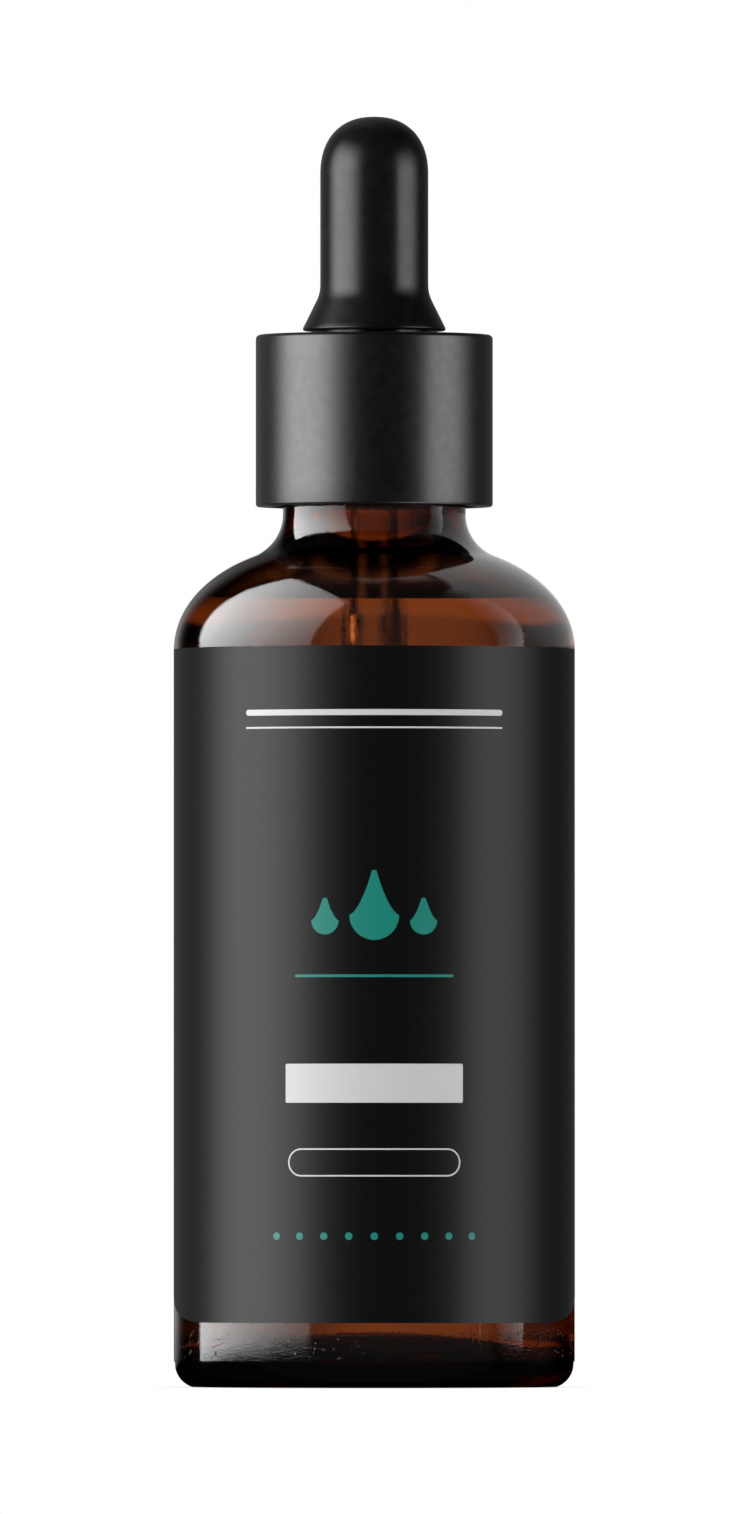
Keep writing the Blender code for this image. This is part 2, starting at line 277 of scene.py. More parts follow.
def collar_profile():
    """A closed ring: outside, foot, threaded bore, and the hole in the roof."""
    shoulder_centre = (COLLAR_RADIUS - COLLAR_TOP_ROUND, COLLAR_TOP - COLLAR_TOP_ROUND)
    foot_centre = (COLLAR_RADIUS - COLLAR_BOTTOM_ROUND, COLLAR_BOTTOM + COLLAR_BOTTOM_ROUND)
    top = arc(shoulder_centre, COLLAR_TOP_ROUND, 90, 0, 12)
    foot = arc(foot_centre, COLLAR_BOTTOM_ROUND, 0, -90, 8)
    roof = COLLAR_TOP - COLLAR_ROOF
    bore = line((COLLAR_BORE, COLLAR_BOTTOM), (COLLAR_BORE, roof), THREAD_ROW)
    hole = [(COLLAR_HOLE, roof), (COLLAR_HOLE, COLLAR_TOP)]
    return top + line(top[-1], foot[0], 2.0)[1:-1] + foot + bore + hole


def bulb_crown(steps):
    """The rounded top, from the axis out to the side."""
    points = [(0, BULB_TOP)]
    for angle in np.linspace(math.pi / 2, 0, steps + 1)[1:]:
        out, up = max(0.0, math.cos(angle)), max(0.0, math.sin(angle))
        points.append((BULB_RADIUS * out ** (2 / CROWN_POWER),
                       BULB_TOP - CROWN_HEIGHT * (1 - up ** (2 / CROWN_POWER))))
    return points


def skirt_bend(steps):
    """The hollow bend where the bulb's side runs out into its skirt."""
    lean = math.atan((SKIRT_RADIUS - BULB_RADIUS) / (SKIRT_TOP - SKIRT_BOTTOM - SKIRT_LIP))
    centre = (BULB_RADIUS + SKIRT_FILLET, SKIRT_TOP + SKIRT_FILLET * math.tan(lean / 2))
    return arc(centre, SKIRT_FILLET, 180, 180 + math.degrees(lean), steps)


def bulb_profile():
    """Crown, side, skirt, the groove that holds the collar's roof, the flange, the socket and the hollow."""
    lip = (SKIRT_RADIUS - SKIRT_LIP, SKIRT_BOTTOM + SKIRT_LIP)
    flange_top = COLLAR_TOP - COLLAR_ROOF - GAP
    crown, bend, edge = bulb_crown(48), skirt_bend(12), arc(lip, SKIRT_LIP, 20, -90, 8)
    outside = crown + line(crown[-1], bend[0], 1.0)[1:-1] + bend + line(bend[-1], edge[0], 0.5)[1:-1] + edge
    outside += [(GROOVE_RADIUS, SKIRT_BOTTOM), (GROOVE_RADIUS, flange_top), (FLANGE_RADIUS, flange_top)]
    outside += [(FLANGE_RADIUS, FLANGE_BOTTOM), (SOCKET_RADIUS, FLANGE_BOTTOM), (SOCKET_RADIUS, SOCKET_TOP)]
    cavity = BULB_RADIUS - BULB_WALL
    dome = arc((0, BULB_TOP - BULB_WALL - cavity), cavity, 0, 90, 16)
    dome[-1] = (0, BULB_TOP - BULB_WALL)
    return outside + [(cavity, CAVITY_BOTTOM)] + dome


# ---------------------------------------------------------------- meshes

def new_object(name, points, edges=(), faces=()):
    """An object in the scene, from points in millimetres."""
    mesh = bpy.data.meshes.new(name)
    mesh.from_pydata([(x * MM, y * MM, z * MM) for x, y, z in points], edges, faces)
    item = bpy.data.objects.new(name, mesh)
    bpy.context.scene.collection.objects.link(item)
    return item


def settle(item):
    """Replace an object's mesh by what its modifiers make of it."""
    bpy.context.view_layer.update()
    made = bpy.data.meshes.new_from_object(item.evaluated_get(bpy.context.evaluated_depsgraph_get()))
    item.modifiers.clear()
    item.data = made
    made.name = item.name
    return item


def turned(name, profile, closed=False, segments=SEGMENTS):
    """Turn a profile round Z. A closed profile makes a ring."""
    edges = [(i, i + 1) for i in range(len(profile) - 1)]
    if closed:
        edges.append((len(profile) - 1, 0))
    item = new_object(name, [(r, 0.0, z) for r, z in profile], edges)
    screw = item.modifiers.new("turn", "SCREW")
    screw.steps = screw.render_steps = segments
    screw.use_merge_vertices = True
    screw.merge_threshold = 0.000001
    return settle(item)


def smooth(item, angle=30):
    item.data.shade_smooth()
    item.data.set_sharp_from_angle(angle=math.radians(angle))
    return item


def thickened(item, thickness):
    """Give a sheet on the bottle its thickness, outwards, after points that meet in a tip become one."""
    item.modifiers.new("tips", "WELD").merge_threshold = TIP_MERGE * MM
    shell = item.modifiers.new("film", "SOLIDIFY")
    shell.thickness = thickness * MM
    shell.offset = 1.0
    return smooth(settle(item))


def on_cylinder(radius, angle, height):
    """Point on a cylinder round Z, at an angle from the front, positive to the right."""
    return radius * math.sin(angle), -radius * math.cos(angle), height


def film(name, columns, rows, radius, thickness):
    """A thin film on a cylinder. columns is a list of (angle from the front, low height, high height)."""
    points = []
    for angle, low, high in columns:
        points += [on_cylinder(radius, angle, height) for height in np.linspace(low, high, rows + 1)]
    faces = []
    for c in range(len(columns) - 1):
        for r in range(rows):
            a = c * (rows + 1) + r
            faces.append((a, a + rows + 1, a + rows + 2, a + 1))
    return thickened(new_object(name, points, faces=faces), thickness)


def soft_step(value):
    value = np.clip(value, 0, 1)
    return value * value * (3 - 2 * value)


def ridge(angle, height, start, widths):
    """Share of full height of a rounded screw ridge at each point, zero off the ridge."""
    total = math.tau * THREAD_TURNS
    share = np.zeros_like(angle)
    for turn in range(math.ceil(THREAD_TURNS) + 1):
        along = angle % math.tau + math.tau * turn
        middle = start + PITCH * along / math.tau
        fade = np.clip(np.minimum(along, total - along) / THREAD_RUNOUT, 0, 1)
        side = (widths[0] / 2 - np.abs(height - middle)) / (widths[0] - widths[1]) * 2
        share = np.maximum(share, soft_step(side) * fade)
    return share


def add_thread(item, wall, depth, start, widths):
    """Raise a screw ridge on the wall of a turned piece; a negative depth raises it towards the axis."""
    flat = np.empty(len(item.data.vertices) * 3)
    item.data.vertices.foreach_get("co", flat)
    points = flat.reshape(-1, 3)
    radius = np.hypot(points[:, 0], points[:, 1])
    on_wall = np.abs(radius - wall * MM) < 0.01 * MM
    angle = np.arctan2(points[:, 1], points[:, 0])
    lift = ridge(angle, points[:, 2] / MM, start, widths) * depth * MM * on_wall
    points[:, :2] *= (1 + lift / np.maximum(radius, MM))[:, None]
    item.data.vertices.foreach_set("co", points.ravel())
    item.data.update()


# ---------------------------------------------------------------- shader helpers

class Graph:
    """Short calls for adding nodes to a tree; a value can be a number or another node's socket."""

    def __init__(self, tree):
        self.tree = tree

    def fill(self, socket, value):
        if isinstance(value, bpy.types.NodeSocket):
            self.tree.links.new(value, socket)
        elif value is not None:
            socket.default_value = value

    def node(self, kind, **settings):
        made = self.tree.nodes.new("ShaderNode" + kind)
        for name, value in settings.items():
            setattr(made, name, value)
        return made

    def math(self, operation, *values):
        made = self.node("Math", operation=operation)
        for socket, value in zip(made.inputs, values):
            self.fill(socket, value)
        return made.outputs[0]

    def sum(self, *parts):
        made = parts[0]
        for part in parts[1:]:
            made = self.math("ADD", made, part)
        return made

    def product(self, *factors):
        made = factors[0]
        for factor in factors[1:]:
            made = self.math("MULTIPLY", made, factor)
        return made

    def vector(self, operation, first, second=None, scale=None):
        made = self.node("VectorMath", operation=operation)
        self.fill(made.inputs[0], first)
        self.fill(made.inputs[1], second)
        if scale is not None:
            made.inputs["Scale"].default_value = scale
        return made.outputs["Value" if operation == "DOT_PRODUCT" else "Vector"]

    def split(self, vector):
        made = self.node("SeparateXYZ")
        self.fill(made.inputs[0], vector)
        return made.outputs

    def millimetres(self):
        """The point's place on the piece, in millimetres."""
        return self.vector("SCALE", self.node("TexCoord").outputs["Object"], scale=1 / MM)

    def noise(self, place, size, detail=2.0, roughness=0.5):
        """Noise from 0 to 1 whose lumps are about size millimetres across."""
        made = self.node("TexNoise")
        self.fill(made.inputs["Vector"], place)
        made.inputs["Scale"].default_value = 1 / size
        made.inputs["Detail"].default_value = detail
        made.inputs["Roughness"].default_value = roughness
        return made.outputs["Fac"]

    def spots(self, place, size):
        """Distance to the nearest of scattered points, in cells of size millimetres."""
        made = self.node("TexVoronoi")
        self.fill(made.inputs["Vector"], place)
        made.inputs["Scale"].default_value = 1 / size
        return made.outputs["Distance"]

    def ramp(self, value, low, high, to_low=0.0, to_high=1.0, smooth_ends=True):
        """Take a value from low..high to to_low..to_high, held at both ends."""
        made = self.node("MapRange", interpolation_type="SMOOTHSTEP" if smooth_ends else "LINEAR")
        for name, given in (("Value", value), ("From Min", low), ("From Max", high),
                            ("To Min", to_low), ("To Max", to_high)):
            self.fill(made.inputs[name], given)
        return made.outputs["Result"]

    def band(self, value, low, high, edge):
        """1 from low to high, with soft ends inside them."""
        return self.product(self.ramp(value, low, low + edge), self.ramp(value, high, high - edge))

    def bell(self, value, middle, spread):
        """1 at the middle, falling off evenly to both sides."""
        share = self.math("DIVIDE", self.math("SUBTRACT", value, middle), spread)
        return self.math("EXPONENT", self.product(share, share, -1.0))

    def colours(self, factor, first, second):
        made = self.node("Mix", data_type="RGBA")
        self.fill(made.inputs["Factor"], factor)
        self.fill(made.inputs[6], (*first, 1.0))
        self.fill(made.inputs[7], (*second, 1.0))
        return made.outputs[2]

    def bump(self, height, depth, normal=None):
        """Normal for a surface raised by height (0 to 1) times depth millimetres."""
        made = self.node("Bump")
        self.fill(made.inputs["Height"], height)
        made.inputs["Strength"].default_value = 1.0
        made.inputs["Distance"].default_value = depth * MM
        self.fill(made.inputs["Normal"], normal)
        return made.outputs["Normal"]


def new_material(name, **values):
    """A material with a Principled shader whose plain values are given by socket name."""
    made = bpy.data.materials.new(name)
    made.use_nodes = True
    shader = made.node_tree.nodes["Principled BSDF"]
    for socket, value in values.items():
        shader.inputs[socket.replace("_", " ")].default_value = value
    return made, shader, Graph(made.node_tree)


def new_glow(name):
    """A material that only gives off light, with the socket for its colour."""
    made = bpy.data.materials.new(name)
    made.use_nodes = True
    tree = made.node_tree
    tree.nodes.remove(tree.nodes["Principled BSDF"])
    graph = Graph(tree)
    glow = graph.node("Emission")
    graph.fill(tree.nodes["Material Output"].inputs["Surface"], glow.outputs[0])
    return made, glow.inputs["Color"], graph


def absorb(graph, per_mm):
    """Absorption inside a closed piece: how much of red, green and blue each millimetre takes."""
    strongest = max(per_mm)
    volume = graph.node("VolumeAbsorption")
    volume.inputs["Color"].default_value = (*(1 - a / strongest for a in per_mm), 1.0)
    volume.inputs["Density"].default_value = strongest / MM
    graph.fill(graph.tree.nodes["Material Output"].inputs["Volume"], volume.outputs[0])


# ---------------------------------------------------------------- materials
# Sizes and depths of the relief are in millimetres. A ramp's four numbers are from where to where the
# value runs, and what it becomes at each end.

AMBER_PER_MM = (0.23, 0.54, 0.85)
TINCTURE_PER_MM = (0.002, 0.016, 0.045)
CLEAR_PER_MM = (0.006, 0.003, 0.005)


def clear_material(name, index):
    """A polished see-through material; all that varies on it is its relief."""
    return new_material(name, Base_Color=(1, 1, 1, 1), Transmission_Weight=1.0, IOR=index, Roughness=0.0)


def mould_seam(graph, place):
    """Height of the mould's seam, a thin line up both sides that is faint on the shoulder."""
    x, y, z = graph.split(place)
    across = graph.sum(graph.product(x, math.cos(SEAM_ANGLE)), graph.product(y, math.sin(SEAM_ANGLE)))
    thin = graph.ramp(graph.math("ABSOLUTE", across), 0.14, 0.02)
    return graph.product(thin, graph.ramp(z, 60, 70, 1.0, 0.2))


def stipple(graph, place):
    """Height of the fine raised specks in the band above the heel, larger here and smaller there."""
    z = graph.split(place)[2]
    size = graph.ramp(graph.noise(place, 1.5), 0.36, 0.56, 0.08, 0.28)
    specks = graph.ramp(graph.spots(place, 0.45), size, 0.0)
    return graph.product(specks, graph.ramp(z, 2.5, 2.9), graph.ramp(z, 5.6, 4.6))


def amber_glass():
    """Amber glass with slight waves, a mould seam and the stippled band above the heel."""
    made, shader, graph = clear_material("amber_glass", GLASS_IOR)
    place = graph.millimetres()
    waves = graph.bump(graph.noise(place, 3.5, 1.0), 0.012)
    grain = graph.bump(graph.noise(place, 0.22), 0.0055, waves)
    seam = graph.bump(mould_seam(graph, place), 0.02, grain)
    graph.fill(shader.inputs["Normal"], graph.bump(stipple(graph, place), 0.045, seam))
    absorb(graph, AMBER_PER_MM)
    return made


def tincture_liquid():
    made, shader, graph = clear_material("tincture", LIQUID_IOR)
    graph.fill(shader.inputs["Normal"], graph.bump(graph.noise(graph.millimetres(), 2.5, 1.0), 0.002))
    absorb(graph, TINCTURE_PER_MM)
    return made


def clear_glass():
    """Clear drawn tube, with faint lines along it."""
    made, shader, graph = clear_material("pipette_glass", GLASS_IOR)
    drawn = graph.vector("MULTIPLY", graph.millimetres(), (1.0, 1.0, 0.08))
    graph.fill(shader.inputs["Normal"], graph.bump(graph.noise(drawn, 0.5, 1.0), 0.004))
    absorb(graph, CLEAR_PER_MM)
    return made


def black_film():
    """Matt black label film with a faint grain."""
    made, shader, graph = new_material("label_film", IOR=1.5, Specular_IOR_Level=0.2)
    place = graph.millimetres()
    fine = graph.noise(place, 0.12, 3.0, 0.7)
    colour = graph.colours(graph.noise(place, 0.5, 3.0), (0.0012, 0.0013, 0.0014), (0.0024, 0.0026, 0.0028))
    graph.fill(shader.inputs["Base Color"], colour)
    graph.fill(shader.inputs["Roughness"], graph.ramp(fine, 0.2, 0.8, 0.36, 0.41))
    graph.fill(shader.inputs["Normal"], graph.bump(fine, 0.002))
    return made


def satin_plastic():
    """Black moulded plastic of the collar, satin with a faint mottle."""
    made, shader, graph = new_material("collar_plastic", IOR=1.5, Specular_IOR_Level=0.55)
    place = graph.millimetres()
    mottle = graph.noise(place, 0.9, 3.0)
    colour = graph.colours(mottle, (0.0014, 0.0014, 0.0014), (0.003, 0.003, 0.0031))
    fine = graph.bump(graph.noise(place, 0.15), 0.001)
    graph.fill(shader.inputs["Base Color"], colour)
    graph.fill(shader.inputs["Roughness"], graph.ramp(mottle, 0.3, 0.7, 0.31, 0.35))
    graph.fill(shader.inputs["Normal"], graph.bump(mottle, 0.002, fine))
    return made


def black_rubber():
    """Black rubber of the bulb, with a dusty sheen broken by fine grain."""
    made, shader, graph = new_material("bulb_rubber", IOR=1.5, Specular_IOR_Level=0.27)
    place = graph.millimetres()
    cloud = graph.noise(place, 1.4, 3.0)
    colour = graph.colours(cloud, (0.004, 0.004, 0.004), (0.007, 0.007, 0.007))
    fine = graph.bump(graph.noise(place, 0.1), 0.0012)
    graph.fill(shader.inputs["Base Color"], colour)
    graph.fill(shader.inputs["Roughness"], graph.ramp(cloud, 0.3, 0.7, 0.25, 0.3))
    graph.fill(shader.inputs["Normal"], graph.bump(cloud, 0.006, fine))
    return made


def ink(name, colour):
    """Printed ink, very slightly uneven."""
    made, shader, graph = new_material(name, IOR=1.45)
    darker = tuple(c * 0.93 for c in colour)
    fine = graph.noise(graph.millimetres(), 0.15)
    graph.fill(shader.inputs["Base Color"], graph.colours(fine, darker, colour))
    graph.fill(shader.inputs["Roughness"], graph.ramp(fine, 0.2, 0.8, 0.45, 0.55))
    return made


# ---------------------------------------------------------------- pieces

def place_piece(item, body, node, material):
    """Ride on a body, stand for a node where one is given, and take the material."""
    item.data.materials.append(material)
    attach(item, body)
    if node:
        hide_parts(node)


def make_bottle():
    item = turned("glass_bottle", bottle_profile())
    add_thread(item, NECK_RADIUS, NECK_THREAD_DEPTH, THREAD_START, NECK_THREAD_WIDTHS)
    place_piece(smooth(item), "bottle", "bottle", amber_glass())


def make_tincture():
    item = smooth(turned("tincture_fill", tincture_profile()))
    place_piece(item, "bottle", "tincture", tincture_liquid())


def make_pipette():
    profile = pipette_outside() + pipette_inside()
    item = smooth(turned("glass_pipette", profile, closed=True, segments=TUBE_SEGMENTS))
    place_piece(item, "dropper", "pipette", clear_glass())


def make_collar():
    item = turned("screw_collar", collar_profile(), closed=True)
    start = THREAD_START - PITCH / 2
    add_thread(item, COLLAR_BORE, -COLLAR_THREAD_DEPTH, start, COLLAR_THREAD_WIDTHS)
    place_piece(smooth(item), "collar", "collar", satin_plastic())


def make_bulb():
    item = smooth(turned("rubber_bulb", bulb_profile()))
    place_piece(item, "dropper", "bulb", black_rubber())


def label_edges(angle):
    """Lowest and highest height of the label at an angle from its middle."""
    sweep = max(0.0, (abs(angle) - LABEL_SWEEP_START) / (LABEL_HALF_WRAP - LABEL_SWEEP_START))
    low = LABEL_BOTTOM + LABEL_SWEEP_HEIGHT * (1 - math.sqrt(max(0.0, 1 - sweep ** 2)))
    span = LABEL_TOP_ROUND / BODY_RADIUS
    turn = max(0.0, (abs(angle) - (LABEL_HALF_WRAP - span)) / span)
    high = LABEL_TOP - LABEL_TOP_ROUND * (1 - math.sqrt(max(0.0, 1 - turn ** 2)))
    return low, high


def make_label():
    """The wrap label; its columns stand closer towards its ends, where its lower edge sweeps up."""
    reach = LABEL_HALF_WRAP - LABEL_SWEEP_START
    turns = np.linspace(0, math.pi / 2, LABEL_END_COLUMNS + 1)[1:]
    ends = [LABEL_SWEEP_START + reach * math.sin(a) for a in turns]
    middle = list(np.linspace(-LABEL_SWEEP_START, LABEL_SWEEP_START, LABEL_MIDDLE_COLUMNS + 1))
    angles = [-a for a in ends[::-1]] + middle + ends
    columns = [(a, *label_edges(a)) for a in angles]
    item = film("wrap_label", columns, LABEL_ROWS, BODY_RADIUS - LABEL_SUNK, LABEL_SUNK + LABEL_PROUD)
    place_piece(item, "bottle", "label", black_film())


# ---------------------------------------------------------------- label marks
# Plain marks with no lettering. Each is placed by its distance along the label from its middle line and by
# its height, both in millimetres.

WHITE_INK = (0.56, 0.56, 0.56)
TEAL_INK = (0.002, 0.20, 0.155)
MARK_COLUMN = 0.25
MARK_LEAST_COLUMNS = 8
MARK_SUNK = 0.002
LABEL_FACE = BODY_RADIUS + LABEL_PROUD - MARK_SUNK
FIELD_CORNER = 0.15
DROP_POINT = 2.1                   # height of a drop's point over its belly's middle, in belly radii


def patch(name, middle, half_width, low, high):
    """A filled mark between two outlines, low(s) and high(s), for s from -half_width to half_width."""
    count = max(MARK_LEAST_COLUMNS, math.ceil(2 * half_width / MARK_COLUMN))
    steps = [half_width * math.sin(t) for t in np.linspace(-math.pi / 2, math.pi / 2, count + 1)]
    columns = [((middle + s) / LABEL_FACE, low(s), high(s)) for s in steps]
    return film(name, columns, 1, LABEL_FACE, INK_THICKNESS)


def bar(name, middle, height, length, thickness, corner=None):
    """A level bar. Its ends are round unless a smaller corner radius is given."""
    radius = corner or thickness / 2

    def half(s):
        over = max(0.0, abs(s) - (length / 2 - radius))
        return thickness / 2 - radius + math.sqrt(max(0.0, radius ** 2 - over ** 2))

    return patch(name, middle, length / 2, lambda s: height - half(s), lambda s: height + half(s))


def outline(name, middle, height, length, depth, line_width):
    """A hairline stadium: the outline of a bar with round ends, as a closed ribbon."""
    radius = depth / 2
    straight = length / 2 - radius
    path = []
    for side, first in ((1, -math.pi / 2), (-1, math.pi / 2)):
        turns = np.linspace(first, first + math.pi, 25)
        path += [(side * straight, math.cos(a), math.sin(a)) for a in turns]
        run = np.linspace(side * straight, -side * straight, 48)[1:-1]
        path += [(s, 0.0, side) for s in run]
    points, faces = [], []
    for s, out, up in path:
        for r in (radius - line_width, radius):
            points.append(on_cylinder(LABEL_FACE, (middle + s + r * out) / LABEL_FACE, height + r * up))
    for i in range(len(path)):
        a, b = 2 * i, 2 * ((i + 1) % len(path))
        faces.append((a, a + 1, b + 1, b))
    return thickened(new_object(name, points, faces=faces), INK_THICKNESS)


def drop(name, middle, height, width):
    """A falling drop: a round belly under a point."""
    radius = width / 2

    def low(s):
        return height - math.sqrt(max(0.0, radius ** 2 - s ** 2))

    def high(s):
        share = 1 - abs(s) / radius
        return height + DROP_POINT * radius * share ** 1.35 * (0.55 + 0.45 * share)

    return patch(name, middle, radius, low, high)


def make_marks():
    white, teal = ink("white_ink", WHITE_INK), ink("teal_ink", TEAL_INK)
    marks = [
        (bar("rule_top", 0, 62.3, 25.6, 0.55), white),
        (bar("rule_top_thin", 0, 60.9, 25.6, 0.16), white),
        (drop("drop_middle", 0, 43.6, 4.6), teal),
        (drop("drop_left", -4.6, 43.1, 2.6), teal),
        (drop("drop_right", 4.6, 43.1, 2.6), teal),
        (bar("rule_teal", 0, 38.0, 15.0, 0.25), teal),
        (bar("blank_field", 0, 28.1, 16.9, 3.6, corner=FIELD_CORNER), white),
        (outline("blank_pill", 0, 20.8, 16.4, 2.6, 0.14), white),
    ]
    for i in range(9):
        marks.append((bar(f"dot_{i + 1}", (i - 4) * 2.35, 14.0, 0.7, 0.7), teal))
    for item, made in marks:
        place_piece(item, "bottle", None, made)


# ---------------------------------------------------------------- studio
# The world gives a brightness to each direction that a ray leaves in. Two angles in degrees say where a
# light is: behind, which is 0 straight behind the bottle, 90 on the right, -90 on the left and 180 at the
# camera, and height, which is 0 at eye level and 90 overhead. A light is a product of soft-edged ranges of
# these angles and, last, its brightness.

PAGE_WHITE = 1.0
CAMERA_DISTANCE = 2600.0
CAMERA_HEIGHT = 17.0
AIM = (0.3, 58.45)                 # x and height that the middle of the picture looks at
PICTURE_HEIGHT = 140.5             # real height that the picture spans at the bottle
SENSOR = 36.0
FLOOR_HALF = 3000.0
FLOOR_DROP = 0.02                  # keeps the floor clear of the ring that the bottle stands on
FLOOR_SHADE_REACH = 4.0
FLOOR_SHADE = (0.75, 0.75, 0.75)
# The painted shadow under the bottle: a near-black glowing disc, with its radius, its drop below the floor,
# its sides and its colour.
UNDER_RADIUS = 17.0
UNDER_DROP = 0.01
UNDER_SIDES = 48
UNDER_PAINTED_SHADOW = (0.002, 0.002, 0.002, 1.0)

SOFTBOX_TOWARDS = (-81, 11.6)      # azimuth from the camera, positive to the right, and elevation
SOFTBOX_ROLL = 4.6
SOFTBOX_SIDES = (-0.87, 0.965)     # tangents of the angle from its middle
SOFTBOX_ENDS = (-0.45, 1.83)
SOFTBOX_EDGE = 0.03
SOFTBOX_LEAST_DEPTH = 0.02         # a ray that leaves closer than this to the softbox's plane misses it
SOFTBOX_HOT = (-103, 25)           # where it is brightest
SOFTBOX_SPREAD = 51
SOFTBOX_STRENGTH = 8.8


def direction(azimuth, elevation):
    """Unit vector; azimuth 0 is towards the camera, 90 to the right, in degrees."""
    a, e = math.radians(azimuth), math.radians(elevation)
    return Vector((math.sin(a) * math.cos(e), -math.cos(a) * math.cos(e), math.sin(e)))


def softbox_light(graph, ray, height):
    """The softbox: a flat rectangle that faces the bottle, turned in its own plane, with a hot spot."""
    facing = direction(*SOFTBOX_TOWARDS)
    azimuth = math.radians(SOFTBOX_TOWARDS[0])
    level = Vector((math.cos(azimuth), math.sin(azimuth), 0.0))
    upright = facing.cross(level)
    turn = math.radians(SOFTBOX_ROLL)
    along = level * math.cos(turn) + upright * math.sin(turn)
    up = upright * math.cos(turn) - level * math.sin(turn)
    depth = graph.vector("DOT_PRODUCT", ray, facing)
    safe = graph.math("MAXIMUM", depth, SOFTBOX_LEAST_DEPTH)
    u = graph.math("DIVIDE", graph.vector("DOT_PRODUCT", ray, along), safe)
    v = graph.math("DIVIDE", graph.vector("DOT_PRODUCT", ray, up), safe)
    across = graph.band(u, *SOFTBOX_SIDES, SOFTBOX_EDGE)
    down = graph.band(v, *SOFTBOX_ENDS, SOFTBOX_EDGE)
    mask = graph.product(across, down, graph.math("GREATER_THAN", depth, SOFTBOX_LEAST_DEPTH))
    away = graph.math("ARCCOSINE", graph.vector("DOT_PRODUCT", ray, direction(*SOFTBOX_HOT)))
    hot = graph.bell(graph.math("DEGREES", away), 0.0, SOFTBOX_SPREAD)
    return graph.product(mask, graph.ramp(height, -4.5, -2), hot, SOFTBOX_STRENGTH)


def strip_and_screen(graph, behind, height):
    """On the right, a strip that is brightest at its far edge, and the pale screen that starts there.

    The far edge leans with height, and so does the screen's other side, behind the bottle.
    """
    into = graph.math("SUBTRACT", behind, graph.sum(84.0, graph.product(height, -0.2)))
    fading = graph.math("EXPONENT", graph.product(into, -1 / 12))
    strip = graph.product(graph.ramp(into, 0, 1), graph.ramp(behind, 106, 101), fading,
                          graph.band(height, -3, 66, 2), graph.sum(2.8, graph.product(height, -0.034)))
    lean = graph.sum(behind, graph.product(height, -0.57))
    pale = graph.sum(0.62, graph.product(height, 0.0075), graph.product(behind, -0.004))
    screen = graph.product(graph.ramp(lean, -9, -7), graph.ramp(into, 0, -1), graph.band(height, 0.4, 65, 2),
                           pale)
    return graph.sum(strip, screen)


def mirrored_by_gloss(graph, softbox, behind, height):
    """Brightness of the studio as polished surfaces mirror it.

    Besides the softbox, the strip and the screen there is a faint glow low behind the bottle, a dim ceiling
    with a beam and one small lamp, and a weak light from the front and the sides.
    """
    aside = graph.math("ABSOLUTE", behind)
    low = graph.ramp(height, -8, -1, 0.3, 1.0)
    glow = graph.product(graph.bell(behind, -17, 11), graph.ramp(height, -2.5, 0.5),
                         graph.ramp(height, 32, 0, 0.0, 0.5, smooth_ends=False))
    front = graph.product(graph.ramp(aside, 106, 112), graph.ramp(height, 66, 60), low, 0.09)
    beam = graph.product(graph.ramp(behind, 16, 20), graph.band(height, 65, 79, 4),
                         graph.ramp(behind, 58, 28, 0.0, 0.65))
    ceiling = graph.product(graph.band(behind, -28, 22, 4), graph.band(height, 60, 87, 5), 0.36)
    lamp = graph.product(graph.band(behind, -23, -17, 2), graph.band(height, 45, 58, 3), 1.0)
    sides = graph.math("MAXIMUM", graph.ramp(aside, 45, 70), graph.ramp(height, 56, 66))
    fill = graph.product(sides, low, 0.055)
    return graph.sum(softbox, strip_and_screen(graph, behind, height), glow, front, beam, ceiling, lamp, fill)


def mirrored_by_satin(graph, behind, height):
    """Brightness of the studio as matt and satin surfaces mirror it.

    A soft panel stands on each side, a faint light comes from behind, and a pale table on the right throws
    light up at the label.
    """
    over_table = graph.ramp(height, -17, 3)
    left = graph.product(graph.ramp(behind, -157, -120), graph.ramp(behind, -65, -99),
                         graph.ramp(height, 50, 7), over_table, 10.0)
    right = graph.product(graph.ramp(behind, 69, 106), graph.ramp(behind, 130, 125),
                          graph.ramp(height, 34, -8), over_table, 6.9)
    rims = graph.product(graph.ramp(graph.math("ABSOLUTE", behind), 80, 20),
                         graph.ramp(behind, -40, 40, 0.25, 0.12))
    table = graph.product(graph.band(behind, 70, 160, 20), graph.band(height, -80, -26, 10), 5.0)
    return graph.sum(left, right, rims, table)


def seen_through_glass(graph, softbox, behind, height):
    """Brightness of the surroundings that shine through the glass.

    A pale table reaches up to just under eye level, with a shade to the right. A wall glows behind the
    bottle, a dark gap lies over it, and the ceiling is dimly lit. A lamp stands low on the left, and a
    little of the softbox shines through too.
    """
    table_edge = graph.sum(height, graph.ramp(graph.math("ABSOLUTE", behind), 30, 60, 0.0, 6.0))
    table = graph.product(graph.ramp(height, -24, -13), graph.ramp(table_edge, -6.3, -7.5),
                          graph.sum(0.53, graph.product(graph.bell(behind, 27, 11), -0.35)))
    glow = graph.sum(graph.product(graph.bell(behind, -15, 10), 0.30),
                     graph.product(graph.bell(behind, 1, 10), 0.36))
    gap = graph.ramp(height, 4, 2.5)
    wall = graph.product(graph.ramp(height, -7.5, -6.3), gap, glow)
    haze = graph.product(graph.ramp(height, -0.5, 0.8), gap, 0.1)
    ceiling = graph.product(graph.ramp(height, 16.5, 20.5), graph.ramp(height, 26, 22),
                            graph.bell(behind, 2, 12), 0.26)
    ground = graph.ramp(height, -13, -24, 0.0, 0.04)
    lamp = graph.product(graph.band(behind, -84, -60, 3), graph.band(height, -7.5, -0.5, 1), 2.4)
    through = graph.product(softbox, graph.ramp(behind, -92, -102), 0.3)
    return graph.sum(table, wall, haze, ceiling, ground, lamp, 0.003, through)


